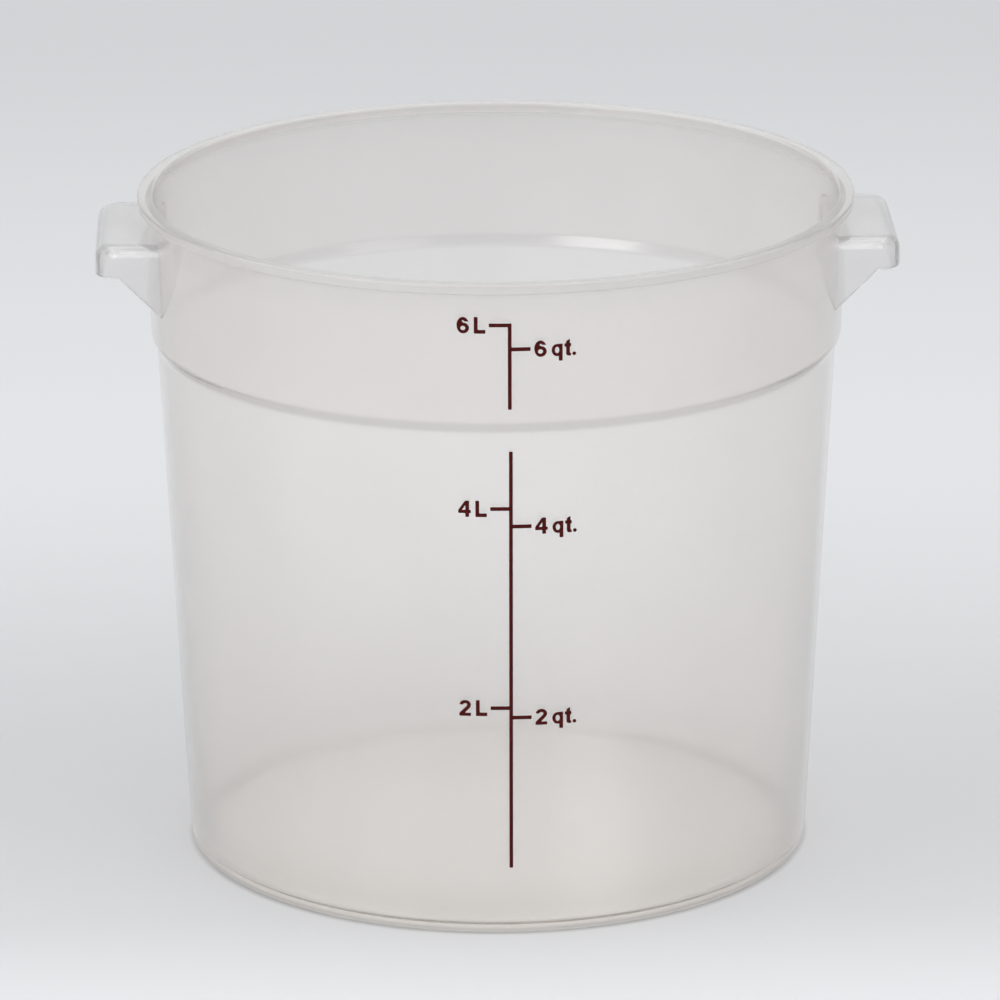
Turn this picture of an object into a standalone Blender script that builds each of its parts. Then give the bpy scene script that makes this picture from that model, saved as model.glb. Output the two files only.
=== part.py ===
"""Round food storage container of about 6 litres: one moulded tub in milky translucent plastic,
with a shoulder, a rim lip and two hollow grip ears, and a volume scale printed on its front.

Metres, +Z up. The origin is at the centre of the base, on the surface that the tub stands on.
The ears point along X, and the scale is printed on the -Y side.
"""

from math import cos, pi, radians, sin, sqrt, tan

import bmesh
import bpy
from mathutils import Matrix, Vector

# The tub, from the rim down. Radii follow each other inwards and downwards from the rim.
HEIGHT = 0.208
RIM_RADIUS = 0.110
LIP_OVERHANG = 0.0027
LIP_HEIGHT = 0.0032
LIP_ROUNDING = 0.0008
LIP_ROOT_FILLET = 0.0005
MOUTH_ROUNDING = 0.0011
BAND_HEIGHT = 0.0438
BAND_TAPER = 0.0010
SHOULDER_STEP = 0.0017
SHOULDER_DROP = 0.0029
SHOULDER_ROUNDING = 0.0036
SHOULDER_FILLET = 0.0024
INNER_LEDGE_LIFT = 0.0003
INNER_LEDGE_ROUNDING = 0.0022
WALL_TAPER = 0.0083
WALL = 0.0022
FLOOR = 0.0030
FLOOR_FILLET = 0.0008
BASE_ROUNDING = 0.0022
FOOT_RING_WIDTH = 0.0055
BASE_RECESS = 0.0007
RECESS_SLOPE_WIDTH = 0.0008
GATE_RADIUS = 0.0015
GATE_HEIGHT = 0.0004

# The grip ears
EAR_STICK_OUT = 0.0154
EAR_LENGTH = 0.0577
EAR_DROP = 0.0098
EAR_DEPTH = 0.0098
EAR_PLATE = 0.0025
EAR_SHELL = 0.0022
EAR_CORNER_RADIUS = 0.0075
EAR_TOP_ROUNDING = 0.0045
EAR_HOLLOW_CORNER_RADIUS = EAR_CORNER_RADIUS - EAR_SHELL
GUSSET_INSET = 0.0073
GUSSET_SLOPE = radians(45)

# The printed scale. Depths are measured down from the rim, and columns along the wall
# from the scale's own upright line.
LITRE_DEPTHS = {6: 0.01295, 4: 0.0707, 2: 0.1343}
QUART_DEPTHS = {6: 0.0204, 4: 0.0763, 2: 0.1374}
SCALE_TURN = radians(0.57)
SCALE_FOOT_HEIGHT = 0.0219
LINE_WIDTH = 0.0010
TICK_WIDTH = 0.00105
TICK_REACH = 0.0061
LINE_CLEAR_ABOVE_SHOULDER = 0.0048
LINE_CLEAR_BELOW_SHOULDER = 0.0060
UPPER_PRINT_SHIFT = -0.00035
CHARACTER_HEIGHT = 0.0050
LEFT_DIGIT_COLUMN = -0.0138
LEFT_LETTER_COLUMN = -0.00885
RIGHT_DIGIT_COLUMN = 0.0091
RIGHT_Q_COLUMN = 0.01405
RIGHT_T_COLUMN = 0.01725
RIGHT_POINT_COLUMN = 0.0192
INK_THICKNESS = 0.0003

# Outlines of the characters, as shares of the character height. Widths are overall.
STROKE_SHARE = 0.205
BAR_SHARE = 0.18
L_WIDTH_SHARE = 0.66
SIX_WIDTH_SHARE = 0.73
SIX_BOWL_SHARE = 0.65
FOUR_WIDTH_SHARE = 0.73
FOUR_STEM_SHARE = 0.63
FOUR_BAR_SHARE = 0.24
FOUR_TOP_SHARE = 0.40
FOUR_EYE_LEFT_SHARE = 0.19
FOUR_EYE_TOP_SHARE = 0.76
TWO_WIDTH_SHARE = 0.68
TWO_BOWL_SHARE = 0.30
TWO_BEND_SHARE = 0.30
TWO_TURN_SHARE = 0.17
Q_WIDTH_SHARE = 0.64
X_HEIGHT_SHARE = 0.74
DESCENDER_SHARE = 0.28
Q_EYE_WIDTH_SHARE = 0.28
Q_EYE_HEIGHT_SHARE = 0.42
T_WIDTH_SHARE = 0.38
T_STEM_SHARE = 0.10
T_TOP_SHARE = 0.89
T_HEEL_SHARE = 0.13
POINT_SHARE = 0.21

# Smoothness and fits
GAP = 0.0003
OVERRUN = 0.004
TURN_STEPS = 96
FINE_STEPS = 3
COARSE_STEPS = 2
FILLET_STEPS = 5
CHARACTER_ARC_STEP = radians(24)
SMOOTH_ANGLE = radians(28)

# Sizes that follow from those above
BAND_TOP_RADIUS = RIM_RADIUS - LIP_OVERHANG
BAND_FOOT_RADIUS = BAND_TOP_RADIUS - BAND_TAPER
WALL_TOP_RADIUS = BAND_FOOT_RADIUS - SHOULDER_STEP
BASE_RADIUS = WALL_TOP_RADIUS - WALL_TAPER
BAND_FOOT_Z = HEIGHT - BAND_HEIGHT
WALL_TOP_Z = BAND_FOOT_Z - SHOULDER_DROP
EAR_TOP_Z = HEIGHT - EAR_DROP
EAR_BOTTOM_Z = EAR_TOP_Z - EAR_DEPTH
EAR_REACH = BAND_TOP_RADIUS + EAR_STICK_OUT

PLASTIC_COLOUR = (0.78, 0.76, 0.73, 1.0)
INK_COLOUR = (0.10, 0.012, 0.012, 1.0)


def clear_scene():
    for found in list(bpy.data.objects):
        bpy.data.objects.remove(found)


def make_material(name, colour, roughness):
    material = bpy.data.materials.new(name)
    material.use_nodes = True
    principled = material.node_tree.nodes["Principled BSDF"]
    principled.inputs["Base Color"].default_value = colour
    principled.inputs["Roughness"].default_value = roughness
    principled.inputs["Metallic"].default_value = 0
    return material


def make_object(name, shape, material):
    """One finished piece from a bmesh, with smooth round faces and crisp corners."""
    bmesh.ops.recalc_face_normals(shape, faces=shape.faces)
    if shape.calc_volume(signed=True) < 0:
        bmesh.ops.reverse_faces(shape, faces=shape.faces)
    mesh = bpy.data.meshes.new(name)
    shape.to_mesh(mesh)
    shape.free()
    mesh.materials.append(material)
    mesh.shade_smooth()
    mesh.set_sharp_from_angle(angle=SMOOTH_ANGLE)
    made = bpy.data.objects.new(name, mesh)
    bpy.context.scene.collection.objects.link(made)
    return made


def make_cutter(name, shape):
    cutter = make_object(name, shape, make_material(name, PLASTIC_COLOUR, 1))
    cutter.hide_render = True
    cutter.display_type = "WIRE"
    return cutter


def cut(target, cutter):
    modifier = target.modifiers.new(cutter.name, "BOOLEAN")
    modifier.operation = "DIFFERENCE"
    modifier.solver = "EXACT"
    modifier.object = cutter


def round_corner(before, corner, after, radius, steps):
    """Points along the arc that rounds one corner of an outline."""
    back = (before - corner).normalized()
    ahead = (after - corner).normalized()
    half_angle = back.angle(ahead) / 2
    reach = radius / tan(half_angle)
    centre = corner + (back + ahead).normalized() * radius / sin(half_angle)
    start = corner + back * reach - centre
    sweep = start.angle_signed(corner + ahead * reach - centre)
    turns = [-sweep * step / steps for step in range(steps + 1)]
    return [centre + Matrix.Rotation(turn, 2) @ start for turn in turns]


def rounded_outline(corners):
    """An open outline through corners given as (across, up, rounding, steps)."""
    places = [Vector(corner[:2]) for corner in corners]
    outline = []
    for index, (_, _, radius, steps) in enumerate(corners):
        if radius == 0:
            outline.append(places[index])
            continue
        before, after = places[index - 1], places[index + 1]
        outline += round_corner(before, places[index], after, radius, steps)
    return outline


def wall_radius(height):
    """Outer radius of the tub below its shoulder."""
    return BASE_RADIUS + WALL_TAPER * height / WALL_TOP_Z


def band_radius(height):
    """Outer radius of the tub above its shoulder."""
    return BAND_FOOT_RADIUS + BAND_TAPER * (height - BAND_FOOT_Z) / BAND_HEIGHT


def inside_corners():
    """From the middle of the floor, up the inner wall, to the mouth."""
    ledge_foot_z = WALL_TOP_Z + INNER_LEDGE_LIFT
    ledge_top_z = BAND_FOOT_Z + INNER_LEDGE_LIFT
    return [
        (0, FLOOR, 0, 0),
        (wall_radius(FLOOR) - WALL, FLOOR, FLOOR_FILLET, FILLET_STEPS),
        (WALL_TOP_RADIUS - WALL, ledge_foot_z, INNER_LEDGE_ROUNDING, COARSE_STEPS),
        (BAND_FOOT_RADIUS - WALL, ledge_top_z, INNER_LEDGE_ROUNDING, COARSE_STEPS),
        (BAND_TOP_RADIUS - WALL, HEIGHT, MOUTH_ROUNDING, FINE_STEPS),
    ]


def outside_corners():
    """From the rim lip, over the band and the shoulder, down to the foot."""
    lip_foot_z = HEIGHT - LIP_HEIGHT
    return [
        (RIM_RADIUS, HEIGHT, LIP_ROUNDING, FINE_STEPS),
        (RIM_RADIUS, lip_foot_z, LIP_ROUNDING, FINE_STEPS),
        (band_radius(lip_foot_z), lip_foot_z, LIP_ROOT_FILLET, COARSE_STEPS),
        (BAND_FOOT_RADIUS, BAND_FOOT_Z, SHOULDER_ROUNDING, FINE_STEPS),
        (WALL_TOP_RADIUS, WALL_TOP_Z, SHOULDER_FILLET, COARSE_STEPS),
        (BASE_RADIUS, 0, BASE_ROUNDING, FILLET_STEPS),
    ]


def underside_corners():
    """From the foot ring, into the shallow recess, to the moulding gate in the middle."""
    ring_inner = BASE_RADIUS - BASE_ROUNDING - FOOT_RING_WIDTH
    return [
        (ring_inner, 0, 0, 0),
        (ring_inner - RECESS_SLOPE_WIDTH, BASE_RECESS, 0, 0),
        (GATE_RADIUS, BASE_RECESS, 0, 0),
        (GATE_RADIUS, BASE_RECESS - GATE_HEIGHT, 0, 0),
        (0, BASE_RECESS - GATE_HEIGHT, 0, 0),
    ]


def make_body(material):
    outline = rounded_outline(inside_corners() + outside_corners() + underside_corners())
    shape = bmesh.new()
    points = [shape.verts.new((point.x, 0, point.y)) for point in outline]
    edges = [shape.edges.new(pair) for pair in zip(points, points[1:])]
    bmesh.ops.spin(
        shape,
        geom=points + edges,
        axis=(0, 0, 1),
        cent=(0, 0, 0),
        steps=TURN_STEPS,
        angle=2 * pi,
        use_merge=True,
    )
    bmesh.ops.remove_doubles(shape, verts=shape.verts, dist=GAP / TURN_STEPS)
    return make_object("container_body", shape, material)


def extrude_outline(outline, start, thickness):
    """A solid from an outline in the XZ plane, made thick along +Y."""
    shape = bmesh.new()
    face = shape.faces.new([shape.verts.new((x, start, z)) for x, z in outline])
    grown = bmesh.ops.extrude_face_region(shape, geom=[face])
    moved = [item for item in grown["geom"] if isinstance(item, bmesh.types.BMVert)]
    bmesh.ops.translate(shape, verts=moved, vec=(0, thickness, 0))
    bmesh.ops.recalc_face_normals(shape, faces=shape.faces)
    return shape


def bevel_edges(shape, chosen, radius, steps):
    bmesh.ops.bevel(
        shape,
        geom=chosen,
        offset=radius,
        segments=steps,
        profile=0.5,
        affect="EDGES",
        material=-1,
    )


def upright_edges_at(shape, reach):
    """The upright edges of a solid that lie at one distance out along X."""
    chosen = []
    for edge in shape.edges:
        first, second = (vert.co for vert in edge.verts)
        along = second - first
        if abs(along.z) > abs(along.y) and abs(along.x) < GAP and abs(first.x - reach) < GAP:
            chosen.append(edge)
    return chosen


def top_outer_edges(shape, root):
    """The edges round the top plate, but not the one inside the tub's wall."""
    chosen = []
    for edge in shape.edges:
        first, second = (vert.co for vert in edge.verts)
        on_top = abs(first.z - EAR_TOP_Z) < GAP and abs(second.z - EAR_TOP_Z) < GAP
        at_root = abs(first.x - root) < GAP and abs(second.x - root) < GAP
        if on_top and not at_root:
            chosen.append(edge)
    return chosen


def ear_outline(root):
    """The ear from its end: top plate, skirt, and the gusset that runs down to the wall."""
    gusset_start = EAR_REACH - GUSSET_INSET
    gusset_drop = (gusset_start - root) * tan(GUSSET_SLOPE)
    return [
        (root, EAR_TOP_Z),
        (EAR_REACH, EAR_TOP_Z),
        (EAR_REACH, EAR_BOTTOM_Z),
        (gusset_start, EAR_BOTTOM_Z),
        (root, EAR_BOTTOM_Z - gusset_drop),
    ]


def make_ear(name, turn, material, wall_cutter):
    """An ear is a hollow shell, open below, whose root follows the band."""
    half_length = EAR_LENGTH / 2
    root = sqrt(BAND_FOOT_RADIUS**2 - half_length**2) - OVERRUN
    shape = extrude_outline(ear_outline(root), -half_length, EAR_LENGTH)
    bevel_edges(shape, upright_edges_at(shape, EAR_REACH), EAR_CORNER_RADIUS, FILLET_STEPS)
    bevel_edges(shape, top_outer_edges(shape, root), EAR_TOP_ROUNDING, FILLET_STEPS)
    ear = make_object(name, shape, material)
    ear.rotation_euler.z = turn

    hollow_reach = EAR_REACH - EAR_SHELL
    hollow_half = half_length - EAR_SHELL
    hollow_foot_z = BAND_FOOT_Z - OVERRUN
    hollow_top_z = EAR_TOP_Z - EAR_PLATE
    hollow_root = root - OVERRUN
    hollow_outline = [
        (hollow_root, hollow_top_z),
        (hollow_reach, hollow_top_z),
        (hollow_reach, hollow_foot_z),
        (hollow_root, hollow_foot_z),
    ]
    hollow = extrude_outline(hollow_outline, -hollow_half, 2 * hollow_half)
    corners = upright_edges_at(hollow, hollow_reach)
    bevel_edges(hollow, corners, EAR_HOLLOW_CORNER_RADIUS, FILLET_STEPS)
    hollow_cutter = make_cutter(name + "_hollow", hollow)
    hollow_cutter.rotation_euler.z = turn
    cut(ear, hollow_cutter)
    cut(ear, wall_cutter)
    return ear


def make_wall_cutter():
    """The band's outer shape with the clearance added, for the ears to follow."""
    foot_z = BAND_FOOT_Z - OVERRUN
    shape = bmesh.new()
    bmesh.ops.create_cone(
        shape,
        cap_ends=True,
        segments=TURN_STEPS,
        radius1=band_radius(foot_z) + GAP,
        radius2=band_radius(HEIGHT) + GAP,
        depth=HEIGHT - foot_z,
    )
    bmesh.ops.translate(shape, verts=shape.verts, vec=(0, 0, (HEIGHT + foot_z) / 2))
    return make_cutter("band_clearance", shape)


def arc(centre, half_width, half_height, start, end):
    """Points along part of an ellipse, between two angles in degrees."""
    sweep = radians(end - start)
    steps = max(1, round(abs(sweep) / CHARACTER_ARC_STEP))
    points = []
    for step in range(steps + 1):
        angle = radians(start) + sweep * step / steps
        across = centre[0] + half_width * cos(angle)
        points.append((across, centre[1] + half_height * sin(angle)))
    return points


def ring(centre, half_width, half_height):
    """A whole ellipse, without its first point twice."""
    return arc(centre, half_width, half_height, 0, 360)[:-1]


def letter_l():
    outer = [
        (0, 0),
        (L_WIDTH_SHARE, 0),
        (L_WIDTH_SHARE, STROKE_SHARE),
        (STROKE_SHARE, STROKE_SHARE),
        (STROKE_SHARE, 1),
        (0, 1),
    ]
    return L_WIDTH_SHARE, [outer]


def digit_six():
    """The hook from its end at the upper right, round the bowl, and back along the hook's inside."""
    half = SIX_WIDTH_SHARE / 2
    bowl = SIX_BOWL_SHARE / 2
    middle = (half, 1 / 2)
    bowl_middle = (half, bowl)
    outer = arc(middle, half, 1 / 2, 29, 270)
    outer += arc(bowl_middle, half, bowl, -90, 113)[1:]
    outer += arc(middle, half - STROKE_SHARE, 1 / 2 - BAR_SHARE, 155, 48)
    eye = ring(bowl_middle, half - STROKE_SHARE, bowl - BAR_SHARE)
    return SIX_WIDTH_SHARE, [outer, eye]


def digit_four():
    """The stem, its cross bar and the slanted stroke, round a three-cornered eye."""
    stem_left = FOUR_STEM_SHARE - STROKE_SHARE
    bar_top = FOUR_BAR_SHARE + BAR_SHARE
    outer = [
        (stem_left, 0),
        (FOUR_STEM_SHARE, 0),
        (FOUR_STEM_SHARE, FOUR_BAR_SHARE),
        (FOUR_WIDTH_SHARE, FOUR_BAR_SHARE),
        (FOUR_WIDTH_SHARE, bar_top),
        (FOUR_STEM_SHARE, bar_top),
        (FOUR_STEM_SHARE, 1),
        (FOUR_TOP_SHARE, 1),
        (0, bar_top),
        (0, FOUR_BAR_SHARE),
        (stem_left, FOUR_BAR_SHARE),
    ]
    eye = [
        (FOUR_EYE_LEFT_SHARE, bar_top),
        (stem_left, bar_top),
        (stem_left, FOUR_EYE_TOP_SHARE),
    ]
    return FOUR_WIDTH_SHARE, [outer, eye]


def digit_two():
    """The foot bar, then over the bow from right to left, and back down its inside."""
    half = TWO_WIDTH_SHARE / 2
    middle = (half, 1 - TWO_BOWL_SHARE)
    outer = [
        (0, 0),
        (TWO_WIDTH_SHARE, 0),
        (TWO_WIDTH_SHARE, BAR_SHARE),
        (TWO_BEND_SHARE, BAR_SHARE),
    ]
    outer += arc(middle, half, TWO_BOWL_SHARE, -36, 172)
    outer += arc(middle, half - STROKE_SHARE, TWO_BOWL_SHARE - BAR_SHARE, 172, -45)
    outer.append((0, TWO_TURN_SHARE))
    return TWO_WIDTH_SHARE, [outer]


def letter_q():
    """The stem with its descender, then round the bowl."""
    half = Q_WIDTH_SHARE / 2
    middle = (half, X_HEIGHT_SHARE / 2)
    stem_left = Q_WIDTH_SHARE - STROKE_SHARE
    outer = [
        (stem_left, -DESCENDER_SHARE),
        (Q_WIDTH_SHARE, -DESCENDER_SHARE),
        (Q_WIDTH_SHARE, X_HEIGHT_SHARE),
        (stem_left, X_HEIGHT_SHARE),
    ]
    outer += arc(middle, half, X_HEIGHT_SHARE / 2, 72, 288)
    eye = ring(middle, Q_EYE_WIDTH_SHARE / 2, Q_EYE_HEIGHT_SHARE / 2)
    return Q_WIDTH_SHARE, [outer, eye]


def letter_t():
    """The toe, up the stem with its cross bar and slanted top, and down to the round heel."""
    stem_right = T_STEM_SHARE + STROKE_SHARE
    bar_foot = X_HEIGHT_SHARE - BAR_SHARE
    outer = [
        (T_WIDTH_SHARE, 0),
        (T_WIDTH_SHARE, T_HEEL_SHARE),
        (stem_right, BAR_SHARE),
        (stem_right, bar_foot),
        (T_WIDTH_SHARE, bar_foot),
        (T_WIDTH_SHARE, X_HEIGHT_SHARE),
        (stem_right, X_HEIGHT_SHARE),
        (stem_right, 1),
        (T_STEM_SHARE, T_TOP_SHARE),
        (T_STEM_SHARE, X_HEIGHT_SHARE),
        (0, X_HEIGHT_SHARE),
        (0, bar_foot),
        (T_STEM_SHARE, bar_foot),
    ]
    heel = (T_STEM_SHARE + T_HEEL_SHARE, T_HEEL_SHARE)
    outer += arc(heel, T_HEEL_SHARE, T_HEEL_SHARE, 180, 270)
    return T_WIDTH_SHARE, [outer]


def full_point():
    half = POINT_SHARE / 2
    return POINT_SHARE, [ring((half, half), half, half)]


def onto_wall(along, height, lift):
    """The place on the tub's outside that is so far along the wall from the scale's line."""
    on_band = height > BAND_FOOT_Z
    radius = band_radius(height) if on_band else wall_radius(height)
    angle = SCALE_TURN + along / radius
    out = radius + lift
    return Vector((out * sin(angle), -out * cos(angle), height))


def make_ink(name, loops, material):
    """A thin patch of ink that follows the wall. The first loop is its edge, the rest are holes."""
    shape = bmesh.new()
    for loop in loops:
        verts = [shape.verts.new((along, 0, height)) for along, height in loop]
        for pair in zip(verts, verts[1:] + verts[:1]):
            shape.edges.new(pair)
    bmesh.ops.triangle_fill(shape, edges=shape.edges, use_beauty=True)
    grown = bmesh.ops.extrude_face_region(shape, geom=list(shape.faces))
    moved = [item for item in grown["geom"] if isinstance(item, bmesh.types.BMVert)]
    bmesh.ops.translate(shape, verts=moved, vec=(0, INK_THICKNESS, 0))
    for vert in shape.verts:
        vert.co = onto_wall(vert.co.x, vert.co.z, GAP + vert.co.y)
    return make_object(name, shape, material)


def make_character(name, glyph, column, middle_z, material):
    """One character, centred on its column and, like its tick, on a height."""
    width_share, loops = glyph
    left = column - width_share * CHARACTER_HEIGHT / 2
    foot = middle_z - CHARACTER_HEIGHT / 2
    placed = []
    for loop in loops:
        placed.append(
            [(left + across * CHARACTER_HEIGHT, foot + up * CHARACTER_HEIGHT) for across, up in loop]
        )
    return make_ink(name, placed, material)


def tick_corners(side, line_x, middle_z):
    """The corners of a tick, met going up on the right (side 1) and down on the left (side -1)."""
    root = line_x + side * LINE_WIDTH / 2
    tip = line_x + side * TICK_REACH
    rise = side * TICK_WIDTH / 2
    return [
        (root, middle_z - rise),
        (tip, middle_z - rise),
        (tip, middle_z + rise),
        (root, middle_z + rise),
    ]


def make_scale_line(name, foot_z, top_z, left_ticks, right_ticks, line_x, material):
    """An upright line with its ticks, as one outline. Its top tick may be its upper end."""
    left = line_x - LINE_WIDTH / 2
    right = line_x + LINE_WIDTH / 2
    outline = [(left, foot_z), (right, foot_z)]
    for middle_z in sorted(right_ticks):
        outline += tick_corners(1, line_x, middle_z)
    outline.append((right, top_z))
    if top_z > max(left_ticks) + TICK_WIDTH / 2:
        outline.append((left, top_z))
    for middle_z in sorted(left_ticks, reverse=True):
        outline += tick_corners(-1, line_x, middle_z)
    return make_ink(name, [outline], material)


def make_upper_line(material):
    """The part of the scale on the band. The tick for 6 litres turns off its upper end."""
    top_tick_z = HEIGHT - LITRE_DEPTHS[6]
    make_scale_line(
        "scale_upper_line",
        BAND_FOOT_Z + LINE_CLEAR_ABOVE_SHOULDER,
        top_tick_z + TICK_WIDTH / 2,
        [top_tick_z],
        [HEIGHT - QUART_DEPTHS[6]],
        UPPER_PRINT_SHIFT,
        material,
    )


def make_lower_line(material):
    """The part of the scale below the shoulder."""
    make_scale_line(
        "scale_lower_line",
        SCALE_FOOT_HEIGHT,
        WALL_TOP_Z - LINE_CLEAR_BELOW_SHOULDER,
        [HEIGHT - LITRE_DEPTHS[4], HEIGHT - LITRE_DEPTHS[2]],
        [HEIGHT - QUART_DEPTHS[4], HEIGHT - QUART_DEPTHS[2]],
        0,
        material,
    )


def make_marks(material):
    """The amount and its unit beside each tick: litres on the left, quarts on the right."""
    digits = {6: digit_six(), 4: digit_four(), 2: digit_two()}
    litre_letters = {"letter": (letter_l(), LEFT_LETTER_COLUMN)}
    quart_letters = {
        "q": (letter_q(), RIGHT_Q_COLUMN),
        "t": (letter_t(), RIGHT_T_COLUMN),
        "point": (full_point(), RIGHT_POINT_COLUMN),
    }
    sides = (
        ("litres", LITRE_DEPTHS, LEFT_DIGIT_COLUMN, litre_letters),
        ("quarts", QUART_DEPTHS, RIGHT_DIGIT_COLUMN, quart_letters),
    )
    for unit, depths, digit_column, letters in sides:
        for amount, depth in depths.items():
            middle_z = HEIGHT - depth
            shift = UPPER_PRINT_SHIFT if middle_z > BAND_FOOT_Z else 0
            characters = {"digit": (digits[amount], digit_column)} | letters
            for part, (glyph, column) in characters.items():
                name = f"mark_{amount}_{unit}_{part}"
                make_character(name, glyph, column + shift, middle_z, material)


def main():
    clear_scene()
    make_body(make_material("tub_plastic", PLASTIC_COLOUR, 0.4))
    wall_cutter = make_wall_cutter()
    make_ear("ear_right", 0, make_material("right_ear_plastic", PLASTIC_COLOUR, 0.4), wall_cutter)
    make_ear("ear_left", pi, make_material("left_ear_plastic", PLASTIC_COLOUR, 0.4), wall_cutter)
    ink = make_material("scale_ink", INK_COLOUR, 0.5)
    make_upper_line(ink)
    make_lower_line(ink)
    make_marks(ink)


main()
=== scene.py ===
from math import cos, pi, radians, sin, sqrt, tan

import bmesh
import bpy
from mathutils import Matrix, Vector


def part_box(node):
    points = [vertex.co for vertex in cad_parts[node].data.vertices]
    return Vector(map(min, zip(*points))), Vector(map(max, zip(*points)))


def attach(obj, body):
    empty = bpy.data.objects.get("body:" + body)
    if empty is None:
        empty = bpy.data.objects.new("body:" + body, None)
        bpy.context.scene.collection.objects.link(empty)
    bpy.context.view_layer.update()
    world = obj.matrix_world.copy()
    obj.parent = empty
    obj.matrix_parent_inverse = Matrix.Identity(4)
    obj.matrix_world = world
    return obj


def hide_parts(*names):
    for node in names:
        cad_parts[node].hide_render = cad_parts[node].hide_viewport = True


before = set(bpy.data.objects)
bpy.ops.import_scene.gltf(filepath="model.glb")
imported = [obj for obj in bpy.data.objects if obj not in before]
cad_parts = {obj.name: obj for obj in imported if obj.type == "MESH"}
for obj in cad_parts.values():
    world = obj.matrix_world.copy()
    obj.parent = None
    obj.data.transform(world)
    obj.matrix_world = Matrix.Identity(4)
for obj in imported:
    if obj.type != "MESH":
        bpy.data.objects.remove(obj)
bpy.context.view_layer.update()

mm = 0.001  # every length below is in millimetres times this

# the tub's own box gives its height and the lip's radius
tubLow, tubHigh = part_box("container_body")
tub = {
    "height": tubHigh[2],
    "rimRadius": tubHigh[0],
    "lipOverhang": 2.7 * mm,
    "lipHeight": 3.2 * mm,
    "lipRounding": 0.8 * mm,
    "lipRootFillet": 0.6 * mm,
    "mouthRounding": 1.1 * mm,
    "bandHeight": 43.8 * mm,
    "bandTaper": 1.0 * mm,
    "shoulderStep": 1.7 * mm,
    "shoulderDrop": 2.9 * mm,
    "shoulderRounding": 3.6 * mm,
    "shoulderFillet": 2.4 * mm,
    "ledgeLift": 0.3 * mm,
    "ledgeRounding": 2.2 * mm,
    "wallTaper": 8.3 * mm,
    "wall": 2.2 * mm,
    "floor": 3.0 * mm,
    "floorFillet": 0.8 * mm,
    "baseRounding": 2.2 * mm,
    "footRing": 5.5 * mm,
    "recess": 0.7 * mm,
    "recessSlope": 0.8 * mm,
    "gateRadius": 1.5 * mm,
    "gateHeight": 0.4 * mm,
    "turnSteps": 256,
    "roundSteps": 6,
}
bandTop = tub["rimRadius"] - tub["lipOverhang"]
bandFoot = bandTop - tub["bandTaper"]
wallTop = bandFoot - tub["shoulderStep"]
baseRadius = wallTop - tub["wallTaper"]
bandFootZ = tub["height"] - tub["bandHeight"]
wallTopZ = bandFootZ - tub["shoulderDrop"]


def wallRadius(height):  # outer radius below the shoulder
    return baseRadius + tub["wallTaper"] * height / wallTopZ


def bandRadius(height):  # outer radius above it
    return bandFoot + tub["bandTaper"] * (height - bandFootZ) / tub["bandHeight"]


meshes = {
    "samePoint": 0.001 * mm,  # corners nearer than this are one
    "sameLine": 0.01 * mm,  # and places nearer than this are level
    "sharpAngle": radians(40),
}


def near(first, second):
    return abs(first - second) < meshes["sameLine"]


def finishMesh(name, shape, material, replaced):
    # one finished piece: closed, turned outwards, smooth where it is round
    bmesh.ops.remove_doubles(shape, verts=shape.verts, dist=meshes["samePoint"])
    bmesh.ops.recalc_face_normals(shape, faces=shape.faces)
    mesh = bpy.data.meshes.new(name)
    shape.to_mesh(mesh)
    shape.free()
    mesh.shade_smooth()
    mesh.set_sharp_from_angle(angle=meshes["sharpAngle"])
    mesh.materials.append(material)
    piece = bpy.data.objects.new(name, mesh)
    bpy.context.scene.collection.objects.link(piece)
    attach(piece, "root")
    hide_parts(*replaced)
    return piece


def roundCorner(shape, point, radius):
    # swaps a corner of a wire outline for an arc
    ends = [edge.other_vert(point).co - point.co for edge in point.link_edges]
    halfAngle = ends[0].angle(ends[1]) / 2
    bmesh.ops.bevel(
        shape,
        geom=[point],
        offset=radius / tan(halfAngle),
        offset_type="OFFSET",
        segments=tub["roundSteps"],
        profile=0.5,
        affect="VERTICES",
        material=-1,
    )


def tubOutline():
    # across, up and rounding, from the middle of the floor up the inside, over the lip and down
    lipFootZ = tub["height"] - tub["lipHeight"]
    ringInner = baseRadius - tub["baseRounding"] - tub["footRing"]
    return [
        (0, tub["floor"], 0),
        (wallRadius(tub["floor"]) - tub["wall"], tub["floor"], tub["floorFillet"]),
        (wallTop - tub["wall"], wallTopZ + tub["ledgeLift"], tub["ledgeRounding"]),
        (bandFoot - tub["wall"], bandFootZ + tub["ledgeLift"], tub["ledgeRounding"]),
        (bandTop - tub["wall"], tub["height"], tub["mouthRounding"]),
        (tub["rimRadius"], tub["height"], tub["lipRounding"]),
        (tub["rimRadius"], lipFootZ, tub["lipRounding"]),
        (bandRadius(lipFootZ), lipFootZ, tub["lipRootFillet"]),
        (bandFoot, bandFootZ, tub["shoulderRounding"]),
        (wallTop, wallTopZ, tub["shoulderFillet"]),
        (baseRadius, 0, tub["baseRounding"]),
        (ringInner, 0, 0),
        (ringInner - tub["recessSlope"], tub["recess"], 0),
        (tub["gateRadius"], tub["recess"], 0),
        (tub["gateRadius"], tub["recess"] - tub["gateHeight"], 0),
        (0, tub["recess"] - tub["gateHeight"], 0),
    ]


def makeTub(material):
    shape = bmesh.new()
    points = [(shape.verts.new((x, 0, z)), rounding) for x, z, rounding in tubOutline()]
    for (first, _), (second, _) in zip(points, points[1:]):
        shape.edges.new((first, second))
    for point, rounding in points:
        if rounding:
            roundCorner(shape, point, rounding)
    bmesh.ops.spin(
        shape,
        geom=shape.verts[:] + shape.edges[:],
        axis=(0, 0, 1),
        cent=(0, 0, 0),
        steps=tub["turnSteps"],
        angle=2 * pi,
        use_merge=True,
    )
    return finishMesh("tubMoulding", shape, material, ["container_body"])


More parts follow.
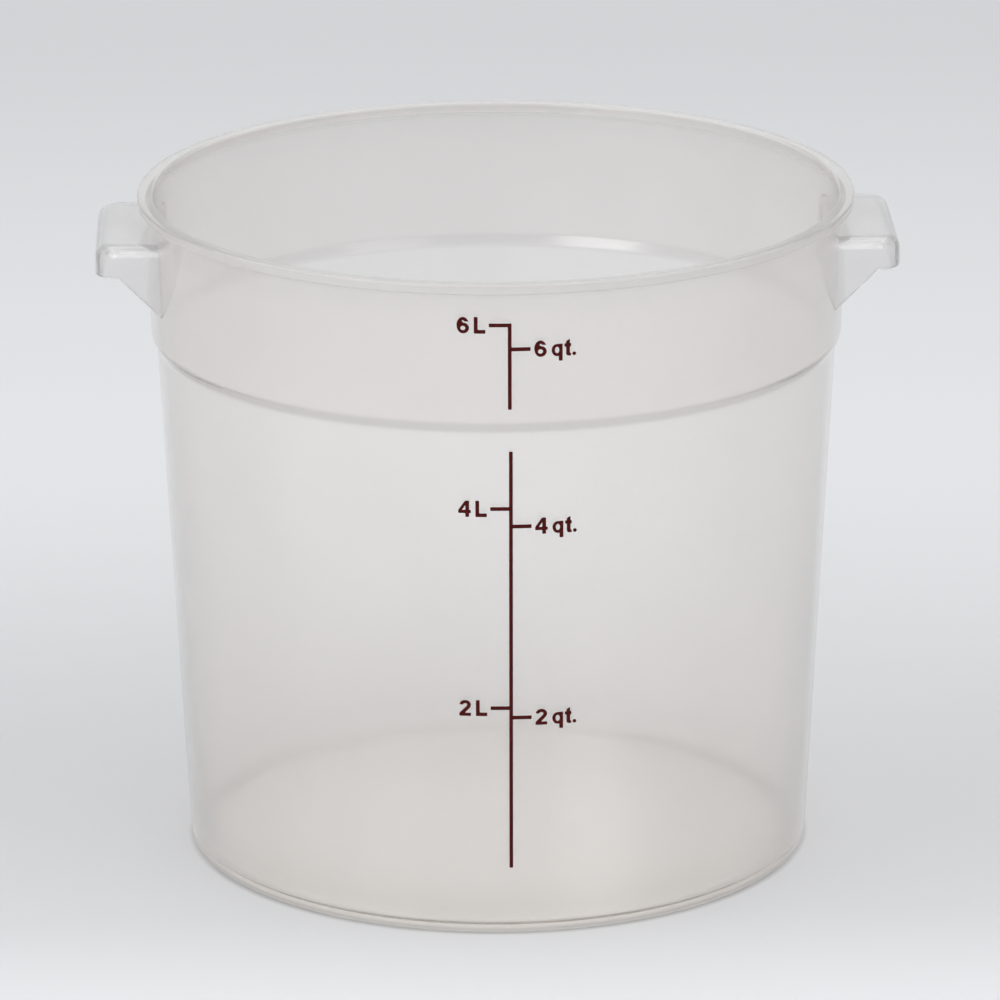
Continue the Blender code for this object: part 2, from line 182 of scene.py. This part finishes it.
ear = {
    "stickOut": 15.4 * mm,  # past the top of the band
    "length": 57.7 * mm,
    "drop": 9.8 * mm,  # from the rim down to its top
    "depth": 9.8 * mm,
    "shell": 2.2 * mm,
    "cornerRadius": 7.5 * mm,
    "topRounding": 4.5 * mm,
    "rimRounding": 0.5 * mm,  # along the open edges below
    "gussetInset": 7.3 * mm,
    "gussetSlope": radians(45),
    "rootDepth": 0.5 * mm,  # how far it goes into the band
    "rootRun": 4.0 * mm,  # how far it goes in before it is cut to the band's curve
    "rootZone": 2.5 * mm,  # what lies within this of its inner end is moved to the curve
    "rootSteps": 30,
    "cornerSteps": 10,
    "topSteps": 8,
    "rimSteps": 3,
    "openEdgeAngle": radians(60),  # only the edges of the shell's open side are sharper than this
}
earReach = bandTop + ear["stickOut"]
earTopZ = tub["height"] - ear["drop"]
earFootZ = earTopZ - ear["depth"]
earHalf = ear["length"] / 2
earRoot = sqrt(bandFoot**2 - earHalf**2) - ear["rootRun"]


def roundEdges(shape, edges, radius, steps):
    bmesh.ops.bevel(
        shape,
        geom=edges,
        offset=radius,
        offset_type="OFFSET",
        segments=steps,
        profile=0.5,
        affect="EDGES",
        material=-1,
    )


def earSkin():
    # the outside of the ear: top, outer side, two ends with their gussets
    shape = bmesh.new()
    gussetStart = earReach - ear["gussetInset"]
    gussetDrop = (gussetStart - earRoot) * tan(ear["gussetSlope"])
    outline = [
        (earRoot, earTopZ),
        (earReach, earTopZ),
        (earReach, earFootZ),
        (gussetStart, earFootZ),
        (earRoot, earFootZ - gussetDrop),
    ]
    end = shape.faces.new([shape.verts.new((x, -earHalf, z)) for x, z in outline])
    grown = bmesh.ops.extrude_face_region(shape, geom=[end])
    moved = [item for item in grown["geom"] if isinstance(item, bmesh.types.BMVert)]
    bmesh.ops.translate(shape, verts=moved, vec=(0, ear["length"], 0))
    bmesh.ops.recalc_face_normals(shape, faces=shape.faces)
    opened = [face for face in shape.faces if face.normal.z < -0.5 or face.normal.x < -0.9]
    bmesh.ops.delete(shape, geom=opened, context="FACES")
    upright = [
        edge
        for edge in shape.edges
        if all(near(vert.co.x, earReach) for vert in edge.verts) and near(*(v.co.y for v in edge.verts))
    ]
    roundEdges(shape, upright, ear["cornerRadius"], ear["cornerSteps"])
    crown = [
        edge
        for edge in shape.edges
        if len(edge.link_faces) == 2 and all(near(vert.co.z, earTopZ) for vert in edge.verts)
    ]
    roundEdges(shape, crown, ear["topRounding"], ear["topSteps"])
    for step in range(1, ear["rootSteps"]):
        bmesh.ops.bisect_plane(
            shape,
            geom=shape.verts[:] + shape.edges[:] + shape.faces[:],
            plane_co=(0, earHalf * (2 * step / ear["rootSteps"] - 1), 0),
            plane_no=(0, 1, 0),
        )
    return shape


def makeEar(name, turned, material, replaced):
    # a hollow shell, open below, whose root follows the band
    shape = earSkin()
    bmesh.ops.remove_doubles(shape, verts=shape.verts, dist=meshes["samePoint"])
    bmesh.ops.recalc_face_normals(shape, faces=shape.faces)
    if max(shape.faces, key=lambda face: face.calc_center_median().z).normal.z < 0:
        bmesh.ops.reverse_faces(shape, faces=shape.faces)
    bmesh.ops.solidify(shape, geom=shape.faces[:], thickness=ear["shell"])
    rootEnd = earRoot + ear["rootZone"]
    rims = [
        edge
        for edge in shape.edges
        if edge.calc_face_angle(0) > ear["openEdgeAngle"] and any(vert.co.x > rootEnd for vert in edge.verts)
    ]
    roundEdges(shape, rims, ear["rimRounding"], ear["rimSteps"])
    for vert in shape.verts:
        if vert.co.x < rootEnd:
            depth = bandRadius(vert.co.z) - ear["rootDepth"]
            outwards = sqrt(depth**2 - vert.co.y**2) - vert.co.x
            vert.co.x += outwards
            if vert.co.z < earFootZ:  # the gusset's edge keeps its slope
                vert.co.z += outwards * tan(ear["gussetSlope"])
    bmesh.ops.rotate(shape, verts=shape.verts, matrix=Matrix.Rotation(turned, 3, "Z"))
    return finishMesh(name, shape, material, [replaced])


inkFilm = {
    "height": 0.08 * mm,  # above the plastic
    "depth": 0.04 * mm,  # and into it
    "bleed": 0.05 * mm,  # past the solid's outline
    "cornerRounding": 0.16 * mm,
    "cornerSteps": 4,
    "cornerAngle": radians(10),  # sharper corners than this are rounded
    "straightAngle": radians(1),  # and flatter ones than this go
    "samePoint": 0.005 * mm,
    "outerGap": 0.45 * mm,  # the solid's outer side is farther off the wall than this, its inner side nearer
    "stripWidth": 1.0 * mm,  # so that it follows the wall's curve
}


def tubRadius(height):
    return bandRadius(height) if height > bandFootZ else wallRadius(height)


def makeInk(name, material):
    # one patch of print: the solid's outline, with softened corners, laid on the wall as a film
    shape = bmesh.new()
    shape.from_mesh(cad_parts[name].data)
    bmesh.ops.remove_doubles(shape, verts=shape.verts, dist=inkFilm["samePoint"])
    straight = inkFilm["straightAngle"]
    bmesh.ops.dissolve_limit(shape, angle_limit=straight, verts=shape.verts, edges=shape.edges)
    bleed = {}
    for vert in shape.verts:
        outwards = Vector((vert.co.x, vert.co.y, 0)).normalized()
        normals = [face.normal for face in vert.link_faces if abs(face.normal.dot(outwards)) < 0.5]
        if len(normals) == 2:
            bleed[vert] = (normals[0] + normals[1]) / (1 + normals[0].dot(normals[1]))
    for vert, step in bleed.items():
        vert.co += step * inkFilm["bleed"]
    sides = []
    for edge in shape.edges:
        first, second = (vert.co for vert in edge.verts)
        along = (second - first).normalized()
        outwards = Vector((first.x, first.y, 0)).normalized()
        if abs(along.dot(outwards)) > 0.9 and edge.calc_face_angle(0) > inkFilm["cornerAngle"]:
            sides.append(edge)
    bmesh.ops.bevel(
        shape,
        geom=sides,
        offset=inkFilm["cornerRounding"],
        offset_type="OFFSET",
        segments=inkFilm["cornerSteps"],
        profile=0.5,
        affect="EDGES",
        clamp_overlap=True,
        material=-1,
    )
    low = min(vert.co.x for vert in shape.verts)
    high = max(vert.co.x for vert in shape.verts)
    cut = low + inkFilm["stripWidth"]
    while cut < high:
        bmesh.ops.bisect_plane(
            shape,
            geom=shape.verts[:] + shape.edges[:] + shape.faces[:],
            plane_co=(cut, 0, 0),
            plane_no=(1, 0, 0),
        )
        cut += inkFilm["stripWidth"]
    for vert in shape.verts:
        flat = Vector((vert.co.x, vert.co.y))
        wall = tubRadius(vert.co.z)
        outer = flat.length - wall > inkFilm["outerGap"]
        flat = flat.normalized() * (wall + (inkFilm["height"] if outer else -inkFilm["depth"]))
        vert.co.x, vert.co.y = flat
    return finishMesh(name + "_print", shape, material, [name])


plastic = {
    # painted light and shade from the base up, by share of the tub's height: a lighter floor, painted shade
    # near the base, at the shoulder, below the lip and on the lip, and a band a little darker than the wall
    # below it
    "paintedShadeByHeight": [
        (0.012, (1.0, 0.985, 0.965)),
        (0.04, (0.94, 0.925, 0.91)),
        (0.09, (0.98, 0.967, 0.955)),
        (0.2, (1.0, 0.99, 0.983)),
        (0.5, (0.998, 0.993, 0.988)),
        (0.773, (0.998, 0.993, 0.988)),
        (0.776, (0.87, 0.855, 0.845)),  # painted shade along the shoulder
        (0.789, (0.87, 0.855, 0.845)),
        (0.793, (0.956, 0.942, 0.93)),
        (0.94, (0.956, 0.942, 0.93)),
        (0.975, (0.935, 0.925, 0.915)),
        (0.985, (0.865, 0.857, 0.848)),  # painted shade on the lip
    ],
    # the ears' colour is a darker, cooler copy of the tub plastic's: the darkening is painted shade
    "earShadedTint": (0.885, 0.88, 0.88),
    # what the plastic takes out of the light on its way through, per metre, and the colour it leaves
    "murk": 15,
    "earMurk": 4,
    "murkTint": (0.8, 0.55, 0.33, 1),
    "cloudSize": 45 * mm,
    "cloudDetail": 3,
    "cloudDepth": 0.02,
    "roughness": (0.15, 0.2),
    "passes": 0.87,  # the share that shines through and isn't scattered back
    "lipPasses": 0.63,  # the lip is the milkiest
    "lipDepths": (4.0 * mm, 3.0 * mm),  # how far below the rim that begins, and is full
    "earPasses": 0.8,
    "bend": 1.2,  # milky plastic bends what is seen through it less than clear plastic
    "gloss": 1.0,
    "glossRoughness": 0.16,
    "grainSize": 1.1 * mm,
    "grainDetail": 2,
    "grainDepth": 0.004 * mm,
}


def newMaterial(name):
    material = bpy.data.materials.new(name)
    material.use_nodes = True
    tree = material.node_tree
    return material, tree, tree.nodes["Principled BSDF"]


def feed(tree, socket, value):
    # a link, or a value that is the same everywhere
    if isinstance(value, bpy.types.NodeSocket):
        tree.links.new(value, socket)
    else:
        socket.default_value = value


def addNode(tree, kind, inputs):
    node = tree.nodes.new("ShaderNode" + kind)
    for name, value in inputs.items():
        feed(tree, node.inputs[name], value)
    return node


def addMix(tree, blend, share, first, second):
    node = tree.nodes.new("ShaderNodeMix")
    node.data_type = "RGBA"
    node.blend_type = blend
    sockets = [socket for socket in node.inputs if socket.enabled]
    for socket, value in zip(sockets, (share, first, second)):
        feed(tree, socket, value)
    return next(socket for socket in node.outputs if socket.enabled)


def addNoise(tree, size, detail):
    place = addNode(tree, "TexCoord", {}).outputs["Object"]
    return addNode(tree, "TexNoise", {"Vector": place, "Scale": 1 / size, "Detail": detail}).outputs["Fac"]


def addRange(tree, value, lowest, highest, fromLow=0.3, fromHigh=0.7):
    # as they are, the limits suit noise, which mostly lies between 0.3 and 0.7
    limits = {"From Min": fromLow, "From Max": fromHigh, "To Min": lowest, "To Max": highest}
    return addNode(tree, "MapRange", {"Value": value, **limits}).outputs["Result"]


# the tub's colour by height, with painted light and shade in it
def paintedHeightShade(tree, height):
    ramp = addNode(tree, "ValToRGB", {"Fac": addRange(tree, height, 0, 1, 0, tub["height"])})
    stops = ramp.color_ramp.elements  # a new ramp has two
    for at, paintedTint in plastic["paintedShadeByHeight"][1:-1]:
        stops.new(at)
    for stop, (at, paintedTint) in zip(stops, plastic["paintedShadeByHeight"]):
        stop.position = at
        stop.color = (*paintedTint, 1)
    return ramp.outputs["Color"]


def milkyPlastic(name, isTub):
    material, tree, shader = newMaterial(name)
    clouds = addNoise(tree, plastic["cloudSize"], plastic["cloudDetail"])
    shade = addRange(tree, clouds, 1 - plastic["cloudDepth"], 1)
    if isTub:
        place = addNode(tree, "TexCoord", {}).outputs["Object"]
        height = addNode(tree, "SeparateXYZ", {"Vector": place}).outputs["Z"]
        # the tub's colour carries painted light and shade by height
        paintedTint = paintedHeightShade(tree, height)
        lipZone = [tub["height"] - depth for depth in plastic["lipDepths"]]
        passes = addRange(tree, height, plastic["passes"], plastic["lipPasses"], *lipZone)
    else:
        # painted shade: the ears get a darker copy of the same plastic's colour
        paintedTint = (*plastic["earShadedTint"], 1)
        passes = plastic["earPasses"]
    tree.links.new(addMix(tree, "MULTIPLY", 1, paintedTint, shade), shader.inputs["Base Color"])
    tree.links.new(addRange(tree, clouds, *plastic["roughness"]), shader.inputs["Roughness"])
    grain = addNoise(tree, plastic["grainSize"], plastic["grainDetail"])
    bump = addNode(tree, "Bump", {"Height": grain, "Distance": plastic["grainDepth"]})
    tree.links.new(bump.outputs["Normal"], shader.inputs["Normal"])
    shader.inputs["IOR"].default_value = plastic["bend"]
    feed(tree, shader.inputs["Transmission Weight"], passes)
    shader.inputs["Coat Weight"].default_value = plastic["gloss"]
    shader.inputs["Coat Roughness"].default_value = plastic["glossRoughness"]
    murk = addNode(tree, "VolumeAbsorption", {"Color": plastic["murkTint"]})
    murk.inputs["Density"].default_value = plastic["murk" if isTub else "earMurk"]
    tree.links.new(murk.outputs["Volume"], tree.nodes["Material Output"].inputs["Volume"])
    return material


inkLook = {
    "colour": (0.056, 0.003, 0.003, 1),
    "thinColour": (0.115, 0.012, 0.01, 1),
    "roughness": (0.4, 0.6),
    "shine": 0.1,
    "patchSize": 0.6 * mm,
    "patchDetail": 3,
    "thinRange": (0.45, 0.75),  # the noise where the ink begins to thin, and where it is thinnest
}


def printInk():
    material, tree, shader = newMaterial("maroonInk")
    patches = addNoise(tree, inkLook["patchSize"], inkLook["patchDetail"])
    thin = addRange(tree, patches, 0, 1, *inkLook["thinRange"])
    colour = addMix(tree, "MIX", thin, inkLook["colour"], inkLook["thinColour"])
    tree.links.new(colour, shader.inputs["Base Color"])
    tree.links.new(addRange(tree, patches, *inkLook["roughness"]), shader.inputs["Roughness"])
    shader.inputs["Specular IOR Level"].default_value = inkLook["shine"]
    return material


tubPlastic = milkyPlastic("milkyTubPlastic", True)
earPlastic = milkyPlastic("milkyEarPlastic", False)
ink = printInk()
makeTub(tubPlastic)
print("tub made")

ears = [makeEar("earRight", 0, earPlastic, "ear_right"), makeEar("earLeft", pi, earPlastic, "ear_left")]
print("ears made")
prints = [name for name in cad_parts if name.startswith(("mark_", "scale_"))]
for name in prints:
    makeInk(name, ink)
print(len(prints), "patches of print made")


# the view, from the photograph's perspective
view = {
    "lens": 273.04,
    "distance": 2357.9 * mm,
    "lookDown": radians(17.427),
    "swing": radians(1.750),
    "roll": radians(-0.219),
    "aimAcross": 0.95 * mm,
    "aimUp": 107.64 * mm,
    "sensor": 36,
    "farthest": 20,
}


def makeCamera():
    lens = bpy.data.cameras.new("camera")
    lens.lens = view["lens"]
    lens.sensor_width = view["sensor"]
    lens.clip_end = view["farthest"]
    camera = bpy.data.objects.new("camera", lens)
    bpy.context.scene.collection.objects.link(camera)
    turn = Matrix.Rotation(-view["swing"], 4, "Z") @ Matrix.Rotation(pi / 2 - view["lookDown"], 4, "X")
    turn = turn @ Matrix.Rotation(view["roll"], 4, "Z")
    swing = view["swing"]
    aim = Vector((view["aimAcross"] * cos(swing), view["aimAcross"] * sin(swing), view["aimUp"]))
    away = turn @ Vector((0, 0, 1))
    camera.matrix_world = Matrix.Translation(aim + away * view["distance"]) @ turn
    bpy.context.scene.camera = camera


studio = {
    "paperColour": (0.985, 0.99, 1.0),
    # painted light and shade on the paper, from the front to the back, by metres behind the tub; darkest
    # just around the tub, as a painted shadow
    "paperPaintedLight": [
        (-0.5, 0.9),
        (-0.16, 0.9),
        (-0.08, 0.73),
        (0.1, 0.64),
        (0.3, 0.79),
        (0.5, 0.81),
        (1.0, 0.66),
    ],
    "paperHalf": 5.0,
    "paperLift": 0.05 * mm,  # keeps the paper and the foot ring from sharing a plane
    "paperRoughness": 0.9,
    # the soft shadow where the foot ring meets the paper: a ring of this radius
    "contactRadius": 93 * mm,
    "contactWidths": (2.0 * mm, 4.5 * mm),  # darkest up to the first, to both sides, and gone at the second
    "contactShade": 0.66,
    "airColour": (0.97, 0.98, 1, 1),
    "airLight": 0.71,
}


def addMath(tree, operation, *values):
    node = tree.nodes.new("ShaderNodeMath")
    node.operation = operation
    for socket, value in zip(node.inputs, values):
        feed(tree, socket, value)
    return node.outputs["Value"]


def contactShadow(tree, across, back):
    squares = [addMath(tree, "POWER", part, 2) for part in (across, back)]
    fromMiddle = addMath(tree, "SQRT", addMath(tree, "ADD", *squares))
    fromRing = addMath(tree, "ABSOLUTE", addMath(tree, "SUBTRACT", fromMiddle, studio["contactRadius"]))
    return addRange(tree, fromRing, studio["contactShade"], 1, *studio["contactWidths"])


def palePaper():
    material, tree, shader = newMaterial("palePaper")
    shades = studio["paperPaintedLight"]
    nearest, farthest = shades[0][0], shades[-1][0]
    place = addNode(tree, "SeparateXYZ", {"Vector": addNode(tree, "TexCoord", {}).outputs["Object"]})
    across, back = place.outputs["X"], place.outputs["Y"]
    # painted light and shade along the paper's depth
    ramp = addNode(tree, "ValToRGB", {"Fac": addRange(tree, back, 0, 1, nearest, farthest)})
    ramp.color_ramp.interpolation = "B_SPLINE"
    stops = ramp.color_ramp.elements
    for distance, light in shades[1:-1]:
        stops.new((distance - nearest) / (farthest - nearest))
    for stop, (distance, light) in zip(stops, shades):
        stop.position = (distance - nearest) / (farthest - nearest)
        stop.color = [light * part for part in studio["paperColour"]] + [1]
    colour = addMix(tree, "MULTIPLY", 1, ramp.outputs["Color"], contactShadow(tree, across, back))
    tree.links.new(colour, shader.inputs["Base Color"])
    shader.inputs["Roughness"].default_value = studio["paperRoughness"]
    shader.inputs["Specular IOR Level"].default_value = 0
    return material


def makePaperFloor():
    shape = bmesh.new()
    bmesh.ops.create_grid(shape, x_segments=1, y_segments=1, size=studio["paperHalf"])
    bmesh.ops.translate(shape, verts=shape.verts, vec=(0, 0, studio["paperLift"]))
    mesh = bpy.data.meshes.new("paperFloor")
    shape.to_mesh(mesh)
    shape.free()
    floor = bpy.data.objects.new("paperFloor", mesh)
    bpy.context.scene.collection.objects.link(floor)
    mesh.materials.append(palePaper())


def makeLamp(name, place, aim, size, power):
    lamp = bpy.data.lights.new(name, "AREA")
    lamp.shape = "RECTANGLE"
    lamp.size, lamp.size_y = size
    lamp.energy = power
    lamp.use_shadow = False  # thin clear walls hardly shade each other
    holder = bpy.data.objects.new(name, lamp)
    bpy.context.scene.collection.objects.link(holder)
    place = Vector(place)
    turn = (place - Vector(aim)).to_track_quat("Z", "Y").to_matrix().to_4x4()
    holder.matrix_world = Matrix.Translation(place) @ turn
    return holder


# each lamp's place, what it is aimed at, its size and its power
lamps = {
    "softTop": ((0, 0.75, 1.7), (0, 0.75, 0), (2, 2), 9.6),
    "glossFront": ((0, -1.55, 1.45), (0, 0, 0.2), (2.4, 1.2), 20),
    "glossTop": ((0, -0.5, 2.15), (0, 0, 0.2), (2.4, 1.2), 20),
    "glossBack": ((0, 0.6, 2.1), (0, 0, 0.2), (2.4, 1.2), 20),
    "softLeft": ((-1.5, -1.7, 1.5), (0, 0, 0.1), (1.2, 1.2), 11.2),
    "softRight": ((1.5, -1.7, 1.5), (0, 0, 0.1), (1.2, 1.2), 3.6),
}


def makeLights(ears):
    lit = bpy.data.collections.new("edgeLit")
    for piece in ears:
        lit.objects.link(piece)
    for name, setting in lamps.items():
        lamp = makeLamp(name, *setting)
        if name.startswith("gloss"):  # only draws the bright lines along the ears' rounded edges
            lamp.visible_diffuse = False
            lamp.visible_transmission = False
            lamp.light_linking.receiver_collection = lit
    world = bpy.data.worlds.new("studioAir")
    world.use_nodes = True
    air = world.node_tree.nodes["Background"]
    air.inputs["Color"].default_value = studio["airColour"]
    air.inputs["Strength"].default_value = studio["airLight"]
    bpy.context.scene.world = world


makeCamera()
makePaperFloor()
makeLights(ears)
bpy.context.scene.view_settings.view_transform = "Standard"
print("studio made")
